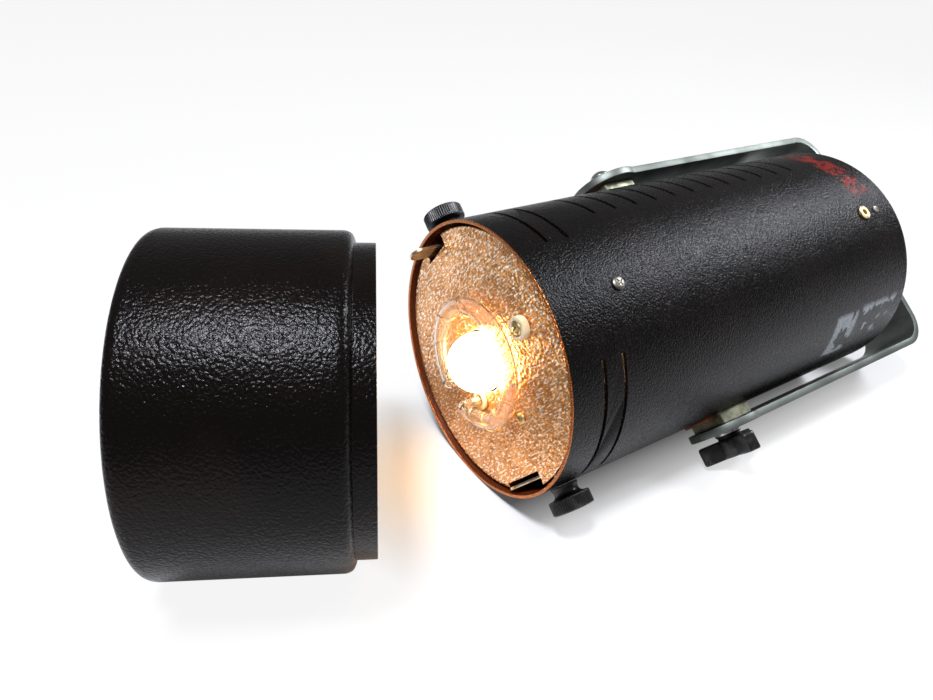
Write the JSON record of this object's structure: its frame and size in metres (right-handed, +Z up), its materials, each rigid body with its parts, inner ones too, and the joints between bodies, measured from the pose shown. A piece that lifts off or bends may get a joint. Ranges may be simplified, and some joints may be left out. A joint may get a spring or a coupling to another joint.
{
  "type": "studio monolight",
  "caption": "Round studio flash head with ring flash tube, lit modelling bulb, flat-bar yoke and a drum hood taken off beside it.",
  "frame": {"origin": "centre of the head's mouth, on the tube's axis, one tube radius above the table", "axes": "+X runs back along the head from its mouth, +Z is up, and the head lies rolled on its side"},
  "size_m": [0.5194, 0.1973, 0.157],
  "materials": {
    "tube_coat": "black pebble-textured powder coat on sheet steel",
    "hood_coat": "black pebble-textured powder coat on sheet",
    "panel_coat": "dark grey satin coat on sheet",
    "hammered_aluminium": "bright hammered sheet",
    "yoke_aluminium": "satin flat bar",
    "chassis_zinc": "zinc-plated sheet",
    "bright_screws": "bright zinc-plated fasteners",
    "block_zinc": "greenish zinc-plated block",
    "tab_steel": "bright folded sheet",
    "black_knobs": "black moulded phenolic",
    "black_plastic": "black moulded plastic",
    "red_plastic": "red moulded plastic",
    "amber_lens": "amber lens",
    "clear_glass": "clear drawn glass",
    "lit_glass": "frosted bulb, lit",
    "ceramic": "cream glazed ceramic",
    "fibre": "orange-brown vulcanised fibre",
    "copper_wire": "fine bare wire",
    "socket_brass": "nickel-plated brass",
    "capacitor_sleeve": "blue sleeve on aluminium cans",
    "core_iron": "varnished laminations",
    "winding": "varnished winding and tape",
    "board_green": "glass-fibre circuit board"
  },
  "bodies": {
    "head": {"tube_shell": "tube_coat", "rear_cap": "tube_coat", "rear_panel": "panel_coat", "panel_screws": "bright_screws", "reflector_plate": "hammered_aluminium", "plate_pillars": "bright_screws", "plate_screw": "bright_screws", "bulkhead": "chassis_zinc", "flash_tube": "clear_glass", "electrode_bushes": "ceramic", "trigger_wire": "copper_wire", "trigger_insulator": "ceramic", "insulator_screw": "bright_screws", "modelling_bulb": "lit_glass", "bulb_cap": "socket_brass", "lamp_holder": "ceramic", "chassis_tray": "chassis_zinc", "capacitors": "capacitor_sleeve", "capacitor_strap": "bright_screws", "transformer_core": "core_iron", "transformer_coil": "winding", "circuit_board": "board_green", "board_standoffs": "socket_brass", "board_parts": "black_plastic", "trigger_coil": "winding", "sync_socket": "socket_brass", "sync_nut": "socket_brass", "top_screws": "bright_screws", "pivot_block_upper": "block_zinc", "pivot_block_lower": "block_zinc", "fibre_pads": "fibre", "pivot_block_screws": "bright_screws", "pivot_nuts": "bright_screws", "pivot_bolt": "bright_screws", "pivot_bolt_washer": "bright_screws", "tilt_washer": "bright_screws", "switch_frames": "black_plastic", "output_control": "bright_screws", "button_collar": "bright_screws", "ready_lamp": "amber_lens", "fuse_holder": "black_plastic", "cord_gland": "black_plastic"},
    "yoke": {"yoke": "yoke_aluminium"},
    "wing_knob": {"wing_knob": "black_knobs", "wing_screw": "bright_screws"},
    "thumbscrew_upper": {"thumbscrew_upper": "black_knobs", "clamp_screw_upper": "bright_screws"},
    "thumbscrew_lower": {"thumbscrew_lower": "black_knobs", "clamp_screw_lower": "bright_screws"},
    "clamp_tab_upper": {"clamp_tab_upper": "tab_steel", "clamp_nut_upper": "bright_screws"},
    "clamp_tab_lower": {"clamp_tab_lower": "tab_steel", "clamp_nut_lower": "bright_screws"},
    "power_rocker": {"power_rocker": "red_plastic"},
    "lamp_rocker": {"lamp_rocker": "black_plastic"},
    "output_knob": {"output_knob": "black_knobs"},
    "test_button": {"test_button": "red_plastic"},
    "fuse_cap": {"fuse_cap": "black_plastic"},
    "hood": {"hood_shell": "hood_coat"}
  },
  "joints": [
    {"name": "yoke_tilt", "type": "hinge", "parent": "head", "child": "yoke", "pos_m": [0.139, 0, 0], "axis": [0, 0.7862, 0.6179], "range_deg": [-120, 120]},
    {"name": "wing_knob_turn", "type": "hinge", "parent": "head", "child": "wing_knob", "pos_m": [0.139, 0, 0], "axis": [0, -0.7862, -0.6179], "range_deg": [0, 720]},
    {"name": "thumbscrew_upper_turn", "type": "hinge", "parent": "head", "child": "thumbscrew_upper", "pos_m": [0.0175, 0, 0], "axis": [0, 0.7862, 0.6179], "range_deg": [-540, 540]},
    {"name": "clamp_tab_upper_swivel", "type": "hinge", "parent": "head", "child": "clamp_tab_upper", "pos_m": [0.0175, 0, 0], "axis": [0, 0.7862, 0.6179], "range_deg": [-12, 12]},
    {"name": "thumbscrew_lower_turn", "type": "hinge", "parent": "head", "child": "thumbscrew_lower", "pos_m": [0.0175, 0, 0], "axis": [0, -0.7862, -0.6179], "range_deg": [-540, 540]},
    {"name": "clamp_tab_lower_swivel", "type": "hinge", "parent": "head", "child": "clamp_tab_lower", "pos_m": [0.0175, 0, 0], "axis": [0, -0.7862, -0.6179], "range_deg": [-55, 0]},
    {"name": "power_rocker_tip", "type": "hinge", "parent": "head", "child": "power_rocker", "pos_m": [0.271, -0.04044, 0.00128], "axis": [0, 0.7862, 0.6179], "range_deg": [-16, 0]},
    {"name": "lamp_rocker_tip", "type": "hinge", "parent": "head", "child": "lamp_rocker", "pos_m": [0.271, -0.02236, 0.0155], "axis": [0, 0.7862, 0.6179], "range_deg": [-16, 0]},
    {"name": "output_knob_turn", "type": "hinge", "parent": "head", "child": "output_knob", "pos_m": [0.272, 0.00842, 0.0346], "axis": [1, 0, 0], "range_deg": [-135, 135]},
    {"name": "test_button_press", "type": "slide", "parent": "head", "child": "test_button", "axis": [-1, 0, 0], "range_m": [0, 0.002], "stiffness_N_per_m": 400},
    {"name": "fuse_cap_turn", "type": "hinge", "parent": "head", "child": "fuse_cap", "pos_m": [0.272, 0.04843, -0.00007], "axis": [1, 0, 0], "range_deg": [0, 60]},
    {"name": "hood_slide", "type": "slide", "parent": "head", "child": "hood", "axis": [-0.891, 0.454, 0], "range_m": [0, 0.16]}
  ]
}
